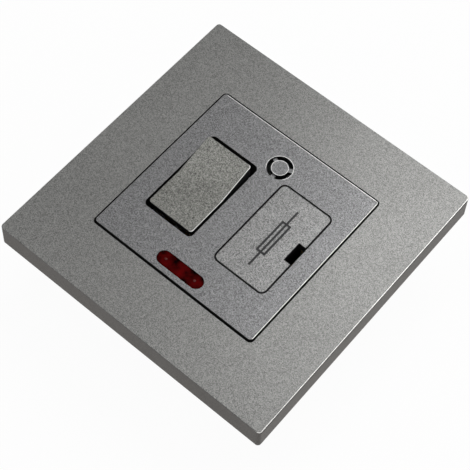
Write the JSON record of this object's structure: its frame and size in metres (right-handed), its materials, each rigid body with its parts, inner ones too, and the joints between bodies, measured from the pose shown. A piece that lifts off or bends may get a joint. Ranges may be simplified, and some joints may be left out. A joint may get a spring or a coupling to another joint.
{
  "type": "fused spur unit",
  "caption": "Square flush-mounted switched fuse outlet with rocker, pull-out fuse carrier, indicator and flex knock-out.",
  "frame": {"origin": "on the wall plane, midway between the two fixing screws", "axes": "+X to the right and +Y up as fitted on a wall, +Z out of the wall"},
  "size_m": [0.0864, 0.0864, 0.0332],
  "materials": {
    "silver_paint": "satin silver-grey paint with fine flake on moulded plastic",
    "lens_red": "dark red translucent plastic",
    "white_moulding": "moulded urea, semi-matt white",
    "nylon": "natural nylon",
    "brass": "rolled brass",
    "silver_contact": "silver contact rivet",
    "steel": "zinc-plated steel",
    "spring_steel": "spring steel",
    "fuse_ceramic": "glazed ceramic",
    "lamp_glass": "clear lamp glass",
    "lead_sleeve": "dark sleeve",
    "resistor_brown": "lacquered resistor body"
  },
  "bodies": {
    "housing_assembly": {"front_frame": "silver_paint", "fascia": "silver_paint", "rear_housing": "white_moulding", "switch_insert": "white_moulding", "housing_screws": "steel", "neon_lens": "lens_red", "neon_lamp": "lamp_glass", "neutral_lead": "lead_sleeve", "lamp_lead": "lead_sleeve", "load_lead": "lead_sleeve", "series_resistor": "resistor_brown", "live_fixed_contact": "brass", "live_fixed_contact_tip": "silver_contact", "neutral_fixed_contact": "brass", "neutral_fixed_contact_tip": "silver_contact", "live_bracket": "brass", "neutral_bracket": "brass", "lower_fuse_clip": "brass", "upper_fuse_clip": "brass", "supply_live_terminal": "brass", "supply_neutral_terminal": "brass", "load_live_terminal": "brass", "load_neutral_terminal": "brass", "earth_terminal_left": "brass", "earth_terminal_right": "brass", "terminal_screws": "steel", "earth_strap": "brass", "cord_clamp": "white_moulding", "clamp_screws": "steel"},
    "rocker_switch": {"rocker": "silver_paint", "live_spring": "spring_steel", "neutral_spring": "spring_steel"},
    "live_plunger_body": {"live_plunger": "nylon"},
    "neutral_plunger_body": {"neutral_plunger": "nylon"},
    "live_lever_body": {"live_lever": "brass", "live_moving_contact": "silver_contact"},
    "neutral_lever_body": {"neutral_lever": "brass", "neutral_moving_contact": "silver_contact"},
    "fuse_drawer": {"fuse_carrier": "silver_paint", "fuse_body": "fuse_ceramic", "fuse_end_caps": "brass"}
  },
  "joints": [
    {"name": "rocker_tilt", "type": "hinge", "parent": "housing_assembly", "child": "rocker_switch", "pos_m": [0.012, 0.00025, 0.00483], "axis": [1, 0, 0], "range_deg": [0, 14]},
    {"name": "live_plunger_slide", "type": "slide", "parent": "rocker_switch", "child": "live_plunger_body", "axis": [0, 0.1219, 0.9925], "range_m": [0, 0.0006], "stiffness_N_per_m": 600, "springref_m": -0.002, "deforming": ["live_spring"]},
    {"name": "neutral_plunger_slide", "type": "slide", "parent": "rocker_switch", "child": "neutral_plunger_body", "axis": [0, 0.1219, 0.9925], "range_m": [0, 0.0006], "stiffness_N_per_m": 600, "springref_m": -0.002, "deforming": ["neutral_spring"]},
    {"name": "live_lever_tilt", "type": "hinge", "parent": "housing_assembly", "child": "live_lever_body", "pos_m": [0.0084, 0.00025, -0.007], "axis": [1, 0, 0], "range_deg": [-14, 0]},
    {"name": "neutral_lever_tilt", "type": "hinge", "parent": "housing_assembly", "child": "neutral_lever_body", "pos_m": [0.0156, 0.00025, -0.007], "axis": [1, 0, 0], "range_deg": [-14, 0]},
    {"name": "fuse_carrier_slide", "type": "slide", "parent": "housing_assembly", "child": "fuse_drawer", "axis": [0, 0, 1], "range_m": [0, 0.0148]}
  ],
  "couplings": [
    {"joint": "live_lever_tilt", "follows": "rocker_tilt", "ratio": -1},
    {"joint": "neutral_lever_tilt", "follows": "rocker_tilt", "ratio": -1}
  ]
}
